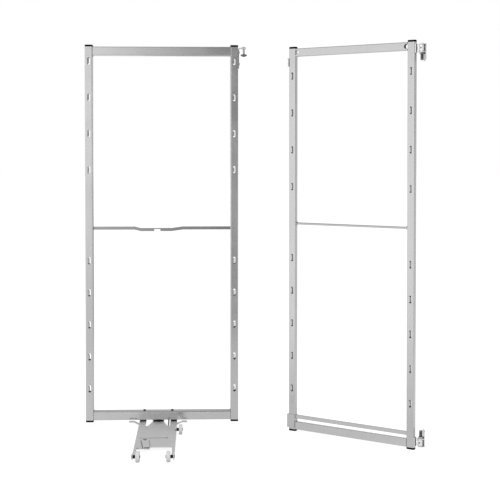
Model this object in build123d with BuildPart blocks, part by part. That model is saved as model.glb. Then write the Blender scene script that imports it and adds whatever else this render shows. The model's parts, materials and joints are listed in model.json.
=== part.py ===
from math import atan2, cos, degrees, radians, sin
import os

from build123d import *

# Pull-out pantry fitting: a sliding inner frame on a roller carriage and a hinged door frame.
# Millimetres, +Z up, +Y away from the tray side, origin at the lower bearing's screw pattern.

# Frame tubes
frame_width = 449.0
door_frame_width = 411.5
frame_height = 1110.0
tube_width = 23.0
inner_tube_depth = 30.0
door_tube_depth = 12.0
tube_wall = 1.5
tube_corner = 2.5
inner_bar_height = 26.0
door_bar_height = 23.0
overrun = 2.0
face_gap = 0.1

# Where the two frames stand
inner_ground_gap = 12.0
door_ground_gap = 0.5
frame_spacing = 707.6
inner_setback = 339.9
door_angle = 38.7

# End caps
cap_height = 5.5
cap_edge = 1.2
plug_length = 12.0
plug_wall = 2.0

# Tray hook slots
slot_height = 21.0
slot_width = 8.0
tongue_height = 14.0
tongue_curl = 4.5
tongue_root = 0.5
upper_slots = 4
lower_slots = 5
upper_slot_pitch = 106.0
lower_slot_pitch = 94.5
inner_upper_slot_drop = 48.0
inner_lower_slot_rise = 99.0
door_upper_slot_drop = 84.0
door_lower_slot_rise = 125.0

# Middle bar of the inner frame
middle_bar_drop = 538.0
middle_bar_height = 9.0
middle_bar_thickness = 4.0
joggle_drop = 4.5
joggle_left_start = -80.0
joggle_left_end = -62.5
joggle_right_end = 28.5
joggle_right_start = 61.0
notch_left = -23.0
notch_right = -5.0
notch_bridge = 3.0

# Rod and low rail of the door frame
rod_drop = 508.0
rod_diameter = 6.0
rod_collar_diameter = 10.0
rod_collar_length = 3.0
low_rail_height = 10.5
low_rail_depth = 8.0
low_rail_gap = 9.0
low_rail_corner = 1.5
end_notch_depth = 11.0
end_notch_height = 13.0

# Door fixing pieces on the free side of the door frame
link_drop = 33.0
link_height = 23.0
link_thickness = 4.5
link_depth = 16.0
link_corner = 2.0
sleeve_rise = 5.0
sleeve_height = 38.0
sleeve_wall = 4.0
sleeve_lip = 22.0
fixing_hole = 4.5

# Bearings on the cabinet side
bearing_end_gap = 11.0
bearing_height = 46.0
bearing_width = 28.0
bearing_thickness = 2.5
bearing_reach = 8.0
bearing_corner = 4.0
screw_offset = 14.0
screw_spacing = 32.0
screw_hole = 4.5
ear_width = 16.0
stud_diameter = 8.0
stud_end_gap = 1.0
stud_reach = 45.0
stud_slot_width = 1.8
stud_slot_depth = 4.0
stud_chamfer = 0.8
nut_across_flats = 13.0
nut_height = 4.0
running_gap = 0.05
axial_gap = 0.4

# Pivot arms on the door frame
arm_reach = 18.5
knuckle_height = 18.0
knuckle_diameter = 14.0
bush_wall = 1.5
arm_thickness = 3.0
arm_foot_height = 24.0
arm_foot_thickness = 2.5
arm_window = 6.0
set_screw_diameter = 4.0
set_screw_length = 1.6
set_screw_socket = 2.0
set_screw_socket_depth = 1.0

# Top guide of the inner frame
guide_drop = 7.0
guide_plate_height = 61.0
guide_plate_thickness = 3.0
guide_arm_reach = 24.0
guide_arm_width = 18.0
guide_bend = 5.0
guide_pin_reach = 17.0
guide_pin_diameter = 6.0
guide_collar_diameter = 9.0
guide_collar_height = 4.0
guide_stem_length = 12.5
guide_head_diameter = 10.0
guide_head_height = 2.0
guide_roller_diameter = 18.0
guide_roller_height = 5.0
guide_roller_edge = 1.0
guide_rivet_diameter = 5.0
guide_rivet_head = 8.0
guide_rivet_height = 1.6
guide_rivet_spacing = 34.0
guide_rivet_rise = 13.0

# Roller carriage
carriage_offset = -11.5
carriage_width = 111.0
carriage_sheet = 2.5
carriage_top = 13.0
deck_front = 319.0
deck_window_front = 58.0
flange_rear = 60.0
flange_depth = 7.0
arm_strip_width = 8.0
arm_strip_setback = 12.5
side_tongue_inner = 35.5
tongue_rear = 28.0
centre_tip_half = 17.0
centre_base_half = 28.0
centre_tip_reach = 0.5
centre_pad_diameter = 30.0
centre_pad_setback = 12.0
centre_hole = 5.0
centre_hole_spacing = 14.0
centre_hole_reach = 22.0
groove_left = -44.0
groove_right = 27.0
groove_reach = 214.0
groove_width = 2.4
groove_depth = 1.0
tab_hole_spacing = 156.0
tab_reach = 22.0
tab_width = 16.0
tab_hole = 5.5
tab_rise = 6.0
tab_ramp = 12.0
deck_corner = 3.0

# Carriage rollers
roller_diameter = 29.0
roller_width = 11.0
roller_reach = 436.5
roller_half_track = 40.0
roller_edge = 1.6
roller_hub_diameter = 13.0
roller_hub_recess = 1.2
side_roller_reach = 114.5
side_roller_width = 9.4
side_roller_gap = 7.2
axle_diameter = 5.0
axle_head_diameter = 9.0
axle_head_height = 1.5
axle_collar_diameter = 9.0
lug_radius = 8.5
side_gap = 0.3

# Carriage fastening under the bottom bar
bolt_half_spacing = 41.0
bolt_diameter = 6.0
bolt_head_diameter = 7.5
bolt_head_height = 3.6
bolt_clearance = 0.2
spacer_width = 18.0
spacer_length = 20.0
spacer_corner = 2.5
spacer_shift = 4.0
carriage_nut_flats = 10.0
carriage_nut_height = 4.0
bolt_thread_end = 1.0

# Stay rod under the carriage deck
stay_offset = 30.5
stay_diameter = 4.0
stay_front_reach = 214.0
stay_bend = 2.5
stay_head_height = 1.2

# Latch lever at the front of the carriage
latch_offset = -29.0
latch_reach = 245.0
latch_hub_radius = 10.0
latch_finger_radius = 9.0
latch_finger_across = 9.0
latch_finger_ahead = 99.0
latch_thickness = 2.5
latch_rib_height = 3.0
latch_rib_width = 3.0
deck_ear_offset = -38.5
deck_ear_reach = 328.0
deck_ear_radius = 10.0
latch_pin_diameter = 5.0
latch_pin_head = 9.0
latch_pin_head_height = 1.5

# Levels and places worked out from the sizes above
floor_level = -(bearing_end_gap + bearing_height / 2)
pivot_x = -(bearing_thickness + bearing_reach)
pivot_y = -screw_offset
turn = radians(door_angle)

inner_face = Plane(
    origin=(pivot_x - frame_spacing, pivot_y + inner_setback, floor_level + inner_ground_gap),
    x_dir=(1, 0, 0),
    z_dir=(0, -1, 0),
)
door_normal = Vector(-sin(turn), -cos(turn), 0)
door_face = Plane(
    origin=Vector(pivot_x, pivot_y, floor_level + door_ground_gap) + door_normal * (door_tube_depth / 2),
    x_dir=(cos(turn), -sin(turn), 0),
    z_dir=door_normal,
)
inner_half = (frame_width - tube_width) / 2
door_right = -(arm_reach + tube_width / 2)
door_left = door_right - (door_frame_width - tube_width)
tube_length = frame_height - 2 * cap_height

os.makedirs("parts", exist_ok=True)


def keep(piece, label):
    """Label a finished piece and write it as a STEP file."""
    piece.part.label = label
    export_step(piece.part, f"parts/{label}.step")


def front(face, toward=0.0):
    """The frame's own plane: across, up, and out towards the tray side."""
    return face.offset(toward)


def level(face, across, height, toward=0.0):
    """A horizontal plane: across to the right, then away from the tray side."""
    origin = face.from_local_coords(Vector(across, height, toward))
    return Plane(origin=origin, x_dir=face.x_dir, z_dir=(0, 0, 1))


def section(face, across, height, toward=0.0):
    """A plane square to the frame's bars: away from the tray side, then up."""
    origin = face.from_local_coords(Vector(across, height, toward))
    return Plane(origin=origin, x_dir=-face.z_dir, z_dir=face.x_dir)


def slot_levels(upper_drop, lower_rise):
    """Heights of the hook slots above the frame's foot: one row down from the top, one row up."""
    upper = [frame_height - upper_drop - n * upper_slot_pitch for n in range(upper_slots)]
    lower = [lower_rise + n * lower_slot_pitch for n in range(lower_slots)]
    return upper + lower


# Uprights: rounded square tubes with a row of hook slots, each with an inward curled tongue
def upright(face, label, across, depth, heights):
    tongue_planes = [level(face, across - slot_width / 2, h - tongue_height / 2) for h in heights]
    with BuildPart() as tube:
        with BuildSketch(level(face, across, cap_height, -depth / 2)):
            RectangleRounded(tube_width, depth, tube_corner)
            RectangleRounded(
                tube_width - 2 * tube_wall, depth - 2 * tube_wall, tube_corner - tube_wall, mode=Mode.SUBTRACT
            )
        extrude(amount=tube_length)
        with BuildSketch(front(face, overrun)):
            with Locations(*[(across, h) for h in heights]):
                SlotOverall(slot_height, slot_width, rotation=90)
        extrude(amount=-(depth + 2 * overrun), mode=Mode.SUBTRACT)
        with BuildSketch(*tongue_planes):
            with BuildLine():
                CenterArc((0, tongue_curl), tongue_curl, 270, 90)
                Polyline((0, 0), (-tongue_root, 0), (-tongue_root, tube_wall), (0, tube_wall))
                CenterArc((0, tongue_curl), tongue_curl - tube_wall, 270, 90)
                Line((tongue_curl - tube_wall, tongue_curl), (tongue_curl, tongue_curl))
            make_face()
        extrude(amount=tongue_height)
    keep(tube, label)


inner_slots = slot_levels(inner_upper_slot_drop, inner_lower_slot_rise)
door_slots = slot_levels(door_upper_slot_drop, door_lower_slot_rise)
upright(inner_face, "inner_left_upright", -inner_half, inner_tube_depth, inner_slots)
upright(inner_face, "inner_right_upright", inner_half, inner_tube_depth, inner_slots)
upright(door_face, "door_left_upright", door_left, door_tube_depth, door_slots)
upright(door_face, "door_right_upright", door_right, door_tube_depth, door_slots)


# End caps: a rounded head over each tube end and a hollow plug inside it
def cap(face, label, across, depth, way):
    seat = cap_height if way < 0 else frame_height - cap_height
    plug_width = tube_width - 2 * (tube_wall + face_gap)
    plug_depth = depth - 2 * (tube_wall + face_gap)
    with BuildPart() as piece:
        with BuildSketch(level(face, across, seat, -depth / 2)):
            RectangleRounded(tube_width, depth, tube_corner)
        extrude(amount=way * cap_height)
        rim = piece.faces().sort_by(Axis.Z)[-1 if way > 0 else 0]
        chamfer(rim.edges(), cap_edge)
        with BuildSketch(level(face, across, seat, -depth / 2)):
            RectangleRounded(plug_width, plug_depth, tube_corner - tube_wall)
            Rectangle(plug_width - 2 * plug_wall, plug_depth - 2 * plug_wall, mode=Mode.SUBTRACT)
        extrude(amount=-way * plug_length)
    keep(piece, label)


for end, way in (("top", 1), ("bottom", -1)):
    cap(inner_face, f"inner_left_{end}_cap", -inner_half, inner_tube_depth, way)
    cap(inner_face, f"inner_right_{end}_cap", inner_half, inner_tube_depth, way)
    cap(door_face, f"door_left_{end}_cap", door_left, door_tube_depth, way)
    cap(door_face, f"door_right_{end}_cap", door_right, door_tube_depth, way)


# Cross bars: hollow tubes welded between the uprights
def cross_bar(face, label, left, right, depth, height, centre, holes=(), end_notches=False):
    start = left + tube_width / 2
    length = right - left - tube_width
    with BuildPart() as bar:
        with BuildSketch(section(face, start, centre, -depth / 2)):
            RectangleRounded(depth, height, tube_corner)
            RectangleRounded(
                depth - 2 * tube_wall, height - 2 * tube_wall, tube_corner - tube_wall, mode=Mode.SUBTRACT
            )
        extrude(amount=length)
        if holes:
            with BuildSketch(level(face, 0, centre - height / 2 - overrun, -depth / 2)):
                with Locations(*[(across, 0) for across in holes]):
                    Circle(bolt_diameter / 2 + bolt_clearance)
            extrude(amount=height + 2 * overrun, mode=Mode.SUBTRACT)
        if end_notches:
            with BuildSketch(front(face, overrun)):
                with Locations((start, centre), (start + length, centre)):
                    SlotOverall(2 * end_notch_depth, end_notch_height)
            extrude(amount=-(depth + 2 * overrun), mode=Mode.SUBTRACT)
    keep(bar, label)


inner_bottom_bar_centre = cap_height + inner_bar_height / 2
inner_top_bar_centre = frame_height - cap_height - inner_bar_height / 2
door_bottom_bar_centre = cap_height + door_bar_height / 2
door_top_bar_centre = frame_height - cap_height - door_bar_height / 2
bolt_places = (carriage_offset - bolt_half_spacing, carriage_offset + bolt_half_spacing)

cross_bar(inner_face, "inner_top_bar", -inner_half, inner_half, inner_tube_depth, inner_bar_height,
          inner_top_bar_centre)
cross_bar(inner_face, "inner_bottom_bar", -inner_half, inner_half, inner_tube_depth, inner_bar_height,
          inner_bottom_bar_centre, holes=bolt_places)
cross_bar(door_face, "door_top_bar", door_left, door_right, door_tube_depth, door_bar_height,
          door_top_bar_centre, end_notches=True)
cross_bar(door_face, "door_bottom_bar", door_left, door_right, door_tube_depth, door_bar_height,
          door_bottom_bar_centre)

# Middle bar of the inner frame: a flat bar that steps down around its notched middle
bar_left = -inner_half + tube_width / 2
bar_right = inner_half - tube_width / 2
bar_top = frame_height - middle_bar_drop + middle_bar_height / 2
step_top = bar_top - joggle_drop
with BuildPart() as middle_bar:
    with BuildSketch(front(inner_face, -(inner_tube_depth - middle_bar_thickness) / 2)):
        with BuildLine():
            Polyline(
                (bar_left, bar_top),
                (joggle_left_start, bar_top),
                (joggle_left_end, step_top),
                (joggle_right_end, step_top),
                (joggle_right_start, bar_top),
                (bar_right, bar_top),
                (bar_right, bar_top - middle_bar_height),
                (joggle_right_start, bar_top - middle_bar_height),
                (joggle_right_end, step_top - middle_bar_height),
                (notch_right, step_top - middle_bar_height),
                (notch_right, step_top - notch_bridge),
                (notch_left, step_top - notch_bridge),
                (notch_left, step_top - middle_bar_height),
                (joggle_left_end, step_top - middle_bar_height),
                (joggle_left_start, bar_top - middle_bar_height),
                (bar_left, bar_top - middle_bar_height),
                close=True,
            )
        make_face()
    extrude(amount=-middle_bar_thickness)
keep(middle_bar, "inner_middle_bar")

# Middle rod of the door frame, with a collar where it meets each upright
rod_level = frame_height - rod_drop
rod_start = door_left + tube_width / 2
rod_length = door_right - door_left - tube_width
with BuildPart() as door_rod:
    with BuildSketch(section(door_face, rod_start, rod_level, -door_tube_depth / 2)):
        Circle(rod_diameter / 2)
    extrude(amount=rod_length)
keep(door_rod, "door_middle_rod")

with BuildPart() as rod_collars:
    for across in (rod_start, rod_start + rod_length - rod_collar_length):
        with BuildSketch(section(door_face, across, rod_level, -door_tube_depth / 2)):
            Circle(rod_collar_diameter / 2)
            Circle(rod_diameter / 2 + face_gap, mode=Mode.SUBTRACT)
        extrude(amount=rod_collar_length)
keep(rod_collars, "door_rod_collars")

# Low rail just above the door frame's bottom bar
low_rail_centre = door_bottom_bar_centre + door_bar_height / 2 + low_rail_gap + low_rail_height / 2
with BuildPart() as low_rail:
    with BuildSketch(section(door_face, rod_start, low_rail_centre, -door_tube_depth / 2)):
        RectangleRounded(low_rail_depth, low_rail_height, low_rail_corner)
    extrude(amount=rod_length)
keep(low_rail, "door_low_rail")

# Link plate high on the free upright of the door frame
door_free_side = door_left - tube_width / 2
link_centre = frame_height - link_drop - link_height / 2
with BuildPart() as link_plate:
    with BuildSketch(section(door_face, door_free_side, link_centre, -door_tube_depth / 2)):
        RectangleRounded(link_depth, link_height, link_corner)
        Circle(fixing_hole / 2, mode=Mode.SUBTRACT)
    extrude(amount=-link_thickness)
keep(link_plate, "door_link_plate")

# Channel sleeve round the foot of the free upright
with BuildPart() as sleeve:
    with BuildSketch(level(door_face, door_free_side, sleeve_rise + cap_height, -door_tube_depth / 2)):
        sleeve_width = sleeve_wall + sleeve_lip
        with Locations((sleeve_width / 2 - sleeve_wall - face_gap, 0)):
            Rectangle(sleeve_width, door_tube_depth + 2 * (sleeve_wall / 2 + face_gap))
        with Locations((sleeve_lip / 2, 0)):
            Rectangle(sleeve_lip + 2 * face_gap, door_tube_depth + 2 * face_gap, mode=Mode.SUBTRACT)
    extrude(amount=sleeve_height)
    with BuildSketch(section(door_face, door_free_side, sleeve_rise + cap_height + sleeve_height / 2,
                             -door_tube_depth / 2)):
        Circle(fixing_hole / 2)
    extrude(amount=-(sleeve_wall + overrun), mode=Mode.SUBTRACT)
keep(sleeve, "door_foot_sleeve")


# Bearings: a screw plate with two ears, a slotted stud through them, a lock nut, and
# on the door frame an arm whose knuckle turns on the stud with a bush between them
pivot_face = door_face.offset(-door_tube_depth / 2)
stud_radius = stud_diameter / 2
bush_radius = stud_radius + bush_wall
wall_side = Plane.YZ


def bearing(name, end, way):
    """One bearing whose outer end is at height `end`, growing inwards along `way`."""
    def up(distance):
        return end + way * distance

    ear_gap = knuckle_height + 2 * axial_gap
    inner_ear = bearing_thickness + ear_gap
    with BuildPart() as bracket:
        with BuildSketch(wall_side):
            with Locations((pivot_y + (bearing_width - ear_width) / 2, up(bearing_height / 2))):
                RectangleRounded(bearing_width, bearing_height, bearing_corner)
            with Locations((0, up(bearing_height / 2))):
                with GridLocations(0, screw_spacing, 1, 2):
                    Circle(screw_hole / 2, mode=Mode.SUBTRACT)
        extrude(amount=-bearing_thickness)
        for foot in (0.0, inner_ear):
            with BuildSketch(Plane.XY.offset(up(foot))):
                with Locations((pivot_x, pivot_y)):
                    Circle(ear_width / 2)
                with Locations(((pivot_x - bearing_thickness) / 2, pivot_y)):
                    Rectangle(-pivot_x - bearing_thickness, ear_width)
                with Locations((pivot_x, pivot_y)):
                    Circle(stud_radius + face_gap, mode=Mode.SUBTRACT)
            extrude(amount=way * bearing_thickness)
    keep(bracket, f"{name}_bearing_bracket")

    with BuildPart() as stud:
        with BuildSketch(Plane.XY.offset(up(-stud_end_gap))):
            with Locations((pivot_x, pivot_y)):
                Circle(stud_radius)
        extrude(amount=way * (stud_reach + stud_end_gap))
        tip = stud.faces().sort_by(Axis.Z)[-1 if way > 0 else 0]
        chamfer(tip.edges(), stud_chamfer)
        with BuildSketch(Plane.XY.offset(up(stud_reach - stud_slot_depth))):
            with Locations((pivot_x, pivot_y)):
                Rectangle(stud_slot_width, stud_diameter + overrun)
        extrude(amount=way * (stud_slot_depth + overrun), mode=Mode.SUBTRACT)
    keep(stud, f"{name}_pivot_stud")

    with BuildPart() as nut:
        with BuildSketch(Plane.XY.offset(up(inner_ear + bearing_thickness))):
            with Locations((pivot_x, pivot_y)):
                RegularPolygon(nut_across_flats / 2, 6, major_radius=False)
                Circle(stud_radius + face_gap, mode=Mode.SUBTRACT)
        extrude(amount=way * nut_height)
    keep(nut, f"{name}_lock_nut")

    knuckle_foot = up(bearing_thickness + axial_gap)
    knuckle_middle = up(bearing_thickness + axial_gap + knuckle_height / 2)
    arm_level = knuckle_middle - pivot_face.origin.Z
    foot_place = -(arm_reach - arm_foot_thickness / 2)
    web_start = -arm_reach + arm_foot_thickness
    with BuildPart() as arm:
        with BuildSketch(Plane.XY.offset(knuckle_foot)):
            with Locations((pivot_x, pivot_y)):
                Circle(knuckle_diameter / 2)
        extrude(amount=way * knuckle_height)
        with BuildSketch(front(pivot_face, arm_thickness / 2)):
            with BuildLine():
                Polyline(
                    (web_start - tongue_root, arm_level + arm_foot_height / 2),
                    (-(ear_width / 2 + side_gap), arm_level + knuckle_height / 2),
                    (0, arm_level + knuckle_height / 2),
                    (0, arm_level - knuckle_height / 2),
                    (-(ear_width / 2 + side_gap), arm_level - knuckle_height / 2),
                    (web_start - tongue_root, arm_level - arm_foot_height / 2),
                    close=True,
                )
            make_face()
            with Locations(((web_start - knuckle_diameter / 2) / 2, arm_level)):
                Circle(arm_window / 2, mode=Mode.SUBTRACT)
        extrude(amount=-arm_thickness)
        with BuildSketch(section(pivot_face, -arm_reach, arm_level)):
            Rectangle(door_tube_depth - tube_corner, arm_foot_height)
        extrude(amount=arm_foot_thickness)
        with BuildSketch(Plane.XY.offset(knuckle_foot - way * overrun)):
            with Locations((pivot_x, pivot_y)):
                Circle(bush_radius + running_gap)
        extrude(amount=way * (knuckle_height + 2 * overrun), mode=Mode.SUBTRACT)
        with BuildSketch(front(pivot_face, bush_radius)):
            with Locations((0, arm_level)):
                Circle(set_screw_diameter / 2 + face_gap)
        extrude(amount=knuckle_diameter, mode=Mode.SUBTRACT)
    keep(arm, f"{name}_pivot_arm")

    with BuildPart() as bush:
        with BuildSketch(Plane.XY.offset(knuckle_foot)):
            with Locations((pivot_x, pivot_y)):
                Circle(bush_radius)
                Circle(stud_radius + running_gap, mode=Mode.SUBTRACT)
        extrude(amount=way * knuckle_height)
    keep(bush, f"{name}_pivot_bush")

    with BuildPart() as set_screw:
        with BuildSketch(front(pivot_face, bush_radius + 2 * running_gap)):
            with Locations((0, arm_level)):
                Circle(set_screw_diameter / 2)
        extrude(amount=set_screw_length)
        with BuildSketch(front(pivot_face, bush_radius + 2 * running_gap + set_screw_length)):
            with Locations((0, arm_level)):
                RegularPolygon(set_screw_socket / 2, 6, major_radius=False)
        extrude(amount=-set_screw_socket_depth, mode=Mode.SUBTRACT)
    keep(set_screw, f"{name}_set_screw")


bearing("lower", floor_level + bearing_end_gap, 1)
bearing("upper", floor_level + door_ground_gap + frame_height - bearing_end_gap, -1)

# Top guide: a bent bracket on the outer side of the right upright carries a pin and a roller
guide_side = inner_half + tube_width / 2
guide_top = frame_height - guide_drop
guide_middle = -inner_tube_depth / 2
pin_across = guide_side + guide_pin_reach
pin_underside = guide_top - guide_plate_thickness
rivet_levels = [guide_top - guide_plate_height + guide_rivet_rise + n * guide_rivet_spacing for n in range(2)]
with BuildPart() as guide_bracket:
    with BuildSketch(front(inner_face, guide_middle + guide_arm_width / 2)):
        with BuildLine():
            Polyline(
                (guide_side, guide_top - guide_plate_height),
                (guide_side, guide_top - guide_bend),
                (guide_side + guide_bend, guide_top),
                (guide_side + guide_arm_reach, guide_top),
                (guide_side + guide_arm_reach, guide_top - guide_plate_thickness),
                (guide_side + guide_bend, guide_top - guide_plate_thickness),
                (guide_side + guide_plate_thickness, guide_top - guide_bend),
                (guide_side + guide_plate_thickness, guide_top - guide_plate_height),
                close=True,
            )
        make_face()
    extrude(amount=-guide_arm_width)
    with BuildSketch(level(inner_face, pin_across, pin_underside - overrun, guide_middle)):
        Circle(guide_pin_diameter / 2 + face_gap)
    extrude(amount=guide_plate_thickness + 2 * overrun, mode=Mode.SUBTRACT)
    with BuildSketch(section(inner_face, guide_side - overrun, 0, guide_middle)):
        with Locations(*[(0, h) for h in rivet_levels]):
            Circle(guide_rivet_diameter / 2 + face_gap)
    extrude(amount=guide_plate_thickness + 2 * overrun, mode=Mode.SUBTRACT)
keep(guide_bracket, "guide_bracket")

with BuildPart() as guide_rivets:
    with BuildSketch(section(inner_face, guide_side, 0, guide_middle)):
        with Locations(*[(0, h) for h in rivet_levels]):
            Circle(guide_rivet_diameter / 2)
    extrude(amount=guide_plate_thickness)
    with BuildSketch(section(inner_face, guide_side + guide_plate_thickness, 0, guide_middle)):
        with Locations(*[(0, h) for h in rivet_levels]):
            Circle(guide_rivet_head / 2)
    extrude(amount=guide_rivet_height)
keep(guide_rivets, "guide_rivets")

roller_top = pin_underside - guide_collar_height - guide_stem_length
with BuildPart() as guide_pin:
    with BuildSketch(Plane(origin=inner_face.from_local_coords(Vector(pin_across, 0, guide_middle)),
                           x_dir=(1, 0, 0), z_dir=(0, -1, 0))):
        with BuildLine():
            pin_radius = guide_pin_diameter / 2
            Polyline(
                (0, guide_top + guide_head_height),
                (guide_head_diameter / 2, guide_top + guide_head_height),
                (guide_head_diameter / 2, guide_top),
                (pin_radius, guide_top),
                (pin_radius, pin_underside),
                (guide_collar_diameter / 2, pin_underside),
                (pin_radius, pin_underside - guide_collar_height),
                (pin_radius, roller_top),
                (pin_radius - running_gap, roller_top),
                (pin_radius - running_gap, roller_top - guide_roller_height - side_gap),
                (guide_collar_diameter / 2, roller_top - guide_roller_height - side_gap),
                (guide_collar_diameter / 2, roller_top - guide_roller_height - side_gap - guide_rivet_height),
                (0, roller_top - guide_roller_height - side_gap - guide_rivet_height),
                close=True,
            )
        make_face()
    revolve(axis=Axis(inner_face.from_local_coords(Vector(pin_across, 0, guide_middle)), (0, 0, 1)))
keep(guide_pin, "guide_pin")

with BuildPart() as guide_roller:
    with BuildSketch(level(inner_face, pin_across, roller_top - guide_roller_height, guide_middle)):
        Circle(guide_roller_diameter / 2)
        Circle(guide_pin_diameter / 2, mode=Mode.SUBTRACT)
    extrude(amount=guide_roller_height - side_gap)
    chamfer(guide_roller.edges().filter_by(GeomType.CIRCLE).sort_by(SortBy.LENGTH)[-2:], guide_roller_edge)
keep(guide_roller, "guide_roller")

# Carriage: one pressed sheet with a deck, three tongues under the bottom bar, two side
# arms that carry the rollers, down-turned flanges and two raised tabs with fixing holes
deck_half = carriage_width / 2
carriage_ground = carriage_top - inner_ground_gap
deck_under = carriage_ground - carriage_sheet
axle_level = roller_diameter / 2 - inner_ground_gap
flange_foot = carriage_ground - flange_depth
tab_place = tab_hole_spacing / 2
tab_flat = tab_place - tab_width / 2
strip_inner = deck_half - arm_strip_width
arm_strip_end = roller_reach - arm_strip_setback
side_roller_place = deck_half + side_roller_gap + side_roller_width / 2


def deck_plane(height):
    """Horizontal plane on the carriage's centre line, at the frame's tray-side face."""
    return level(inner_face, carriage_offset, height)


def flange_side(across):
    """Vertical plane along the carriage, at a distance across from its centre line."""
    return section(inner_face, carriage_offset + across, 0)


with BuildPart() as carriage:
    with BuildSketch(deck_plane(deck_under)) as deck:
        with BuildLine():
            Polyline(
                (centre_tip_half, tongue_rear),
                (centre_tip_half, -centre_tip_reach),
                (centre_base_half, -deck_window_front),
                (side_tongue_inner, -deck_window_front),
                (side_tongue_inner, tongue_rear),
                (deck_half, tongue_rear),
                (deck_half, -arm_strip_end),
                (strip_inner, -arm_strip_end),
                (strip_inner, -deck_front),
                (-strip_inner, -deck_front),
                (-strip_inner, -arm_strip_end),
                (-deck_half, -arm_strip_end),
                (-deck_half, tongue_rear),
                (-side_tongue_inner, tongue_rear),
                (-side_tongue_inner, -deck_window_front),
                (-centre_base_half, -deck_window_front),
                (-centre_tip_half, -centre_tip_reach),
                (-centre_tip_half, tongue_rear),
                close=True,
            )
        make_face()
        fillet(deck.vertices(), deck_corner / 2)
        with Locations((deck_ear_offset, -deck_ear_reach)):
            Circle(deck_ear_radius)
        with Locations((0, -centre_hole_reach)):
            with GridLocations(centre_hole_spacing, 0, 2, 1):
                Circle(centre_hole / 2, mode=Mode.SUBTRACT)
        with Locations((0, inner_tube_depth / 2)):
            with GridLocations(2 * bolt_half_spacing, 0, 2, 1):
                Circle(bolt_diameter / 2 + bolt_clearance, mode=Mode.SUBTRACT)
        with Locations((latch_offset, -latch_reach)):
            Circle(latch_pin_diameter / 2 + face_gap, mode=Mode.SUBTRACT)
        with Locations((stay_offset, -stay_front_reach)):
            Circle(stay_diameter / 2 + face_gap, mode=Mode.SUBTRACT)
    extrude(amount=carriage_sheet)
    with BuildSketch(deck_plane(carriage_ground)):
        with Locations(((groove_left + groove_right) / 2, -groove_reach)):
            SlotOverall(groove_right - groove_left, groove_width)
    extrude(amount=-groove_depth, mode=Mode.SUBTRACT)
    for across in (-deck_half, deck_half - carriage_sheet):
        with BuildSketch(flange_side(across)):
            with BuildLine():
                Polyline(
                    (-flange_rear, carriage_ground),
                    (-flange_rear, flange_foot),
                    (-roller_reach, axle_level - lug_radius),
                    (-roller_reach, axle_level + lug_radius),
                    (-roller_reach + 3 * lug_radius, carriage_ground),
                    close=True,
                )
            make_face()
            with Locations((-roller_reach, axle_level)):
                Circle(lug_radius)
                Circle(axle_diameter / 2 + face_gap, mode=Mode.SUBTRACT)
        extrude(amount=carriage_sheet)
    with BuildSketch(flange_side(deck_half - carriage_sheet)):
        with Locations((-side_roller_reach, axle_level)):
            Circle(lug_radius)
    extrude(amount=carriage_sheet)
    with BuildSketch(flange_side(deck_half - carriage_sheet - overrun)):
        with Locations((-side_roller_reach, axle_level)):
            Circle(axle_diameter / 2 + face_gap)
    extrude(amount=carriage_sheet + 2 * overrun, mode=Mode.SUBTRACT)
    for side in (-1, 1):
        with BuildSketch(front(inner_face, tab_reach + tab_width / 2)):
            with BuildLine():
                Polyline(
                    (carriage_offset + side * (deck_half - deck_corner), deck_under),
                    (carriage_offset + side * (tab_flat - tab_ramp), deck_under),
                    (carriage_offset + side * tab_flat, deck_under + tab_rise),
                    (carriage_offset + side * tab_place, deck_under + tab_rise),
                    (carriage_offset + side * tab_place, carriage_ground + tab_rise),
                    (carriage_offset + side * tab_flat, carriage_ground + tab_rise),
                    (carriage_offset + side * (tab_flat - tab_ramp), carriage_ground),
                    (carriage_offset + side * (deck_half - deck_corner), carriage_ground),
                    close=True,
                )
            make_face()
        extrude(amount=-tab_width)
    with BuildSketch(deck_plane(deck_under + tab_rise)):
        with Locations((0, -tab_reach)):
            with GridLocations(tab_hole_spacing, 0, 2, 1):
                Circle(tab_width / 2)
    extrude(amount=carriage_sheet)
    with BuildSketch(deck_plane(deck_under)):
        with Locations((0, -tab_reach)):
            with GridLocations(tab_hole_spacing, 0, 2, 1):
                Circle(tab_hole / 2)
    extrude(amount=carriage_sheet + 2 * tab_rise, mode=Mode.SUBTRACT)
keep(carriage, "carriage_plate")

# Spacers, centre pad, bolts and nuts between the carriage and the bottom bar
bar_underside = cap_height
bolt_grid = (0, inner_tube_depth / 2)
with BuildPart() as spacers:
    with BuildSketch(deck_plane(carriage_ground)):
        with Locations(bolt_grid):
            with GridLocations(2 * (bolt_half_spacing + spacer_shift), 0, 2, 1):
                RectangleRounded(spacer_width, spacer_length, spacer_corner)
            with GridLocations(2 * bolt_half_spacing, 0, 2, 1):
                Circle(bolt_diameter / 2 + bolt_clearance, mode=Mode.SUBTRACT)
    extrude(amount=bar_underside - carriage_ground)
keep(spacers, "carriage_spacers")

with BuildPart() as centre_pad:
    with BuildSketch(deck_plane(carriage_ground)):
        with Locations((0, centre_pad_setback)):
            Circle(centre_pad_diameter / 2)
    extrude(amount=bar_underside - carriage_ground)
keep(centre_pad, "carriage_centre_pad")

bar_upper_side = cap_height + inner_bar_height
with BuildPart() as bolts:
    with BuildSketch(deck_plane(deck_under - carriage_nut_height - bolt_thread_end)):
        with Locations(bolt_grid):
            with GridLocations(2 * bolt_half_spacing, 0, 2, 1):
                Circle(bolt_diameter / 2)
    extrude(amount=bar_upper_side - deck_under + carriage_nut_height + bolt_thread_end)
    with BuildSketch(deck_plane(bar_upper_side)):
        with Locations(bolt_grid):
            with GridLocations(2 * bolt_half_spacing, 0, 2, 1):
                Circle(bolt_head_diameter / 2)
    extrude(amount=bolt_head_height)
    chamfer(bolts.edges().group_by(Axis.Z)[-1], bolt_head_height / 3)
keep(bolts, "carriage_bolts")

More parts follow.
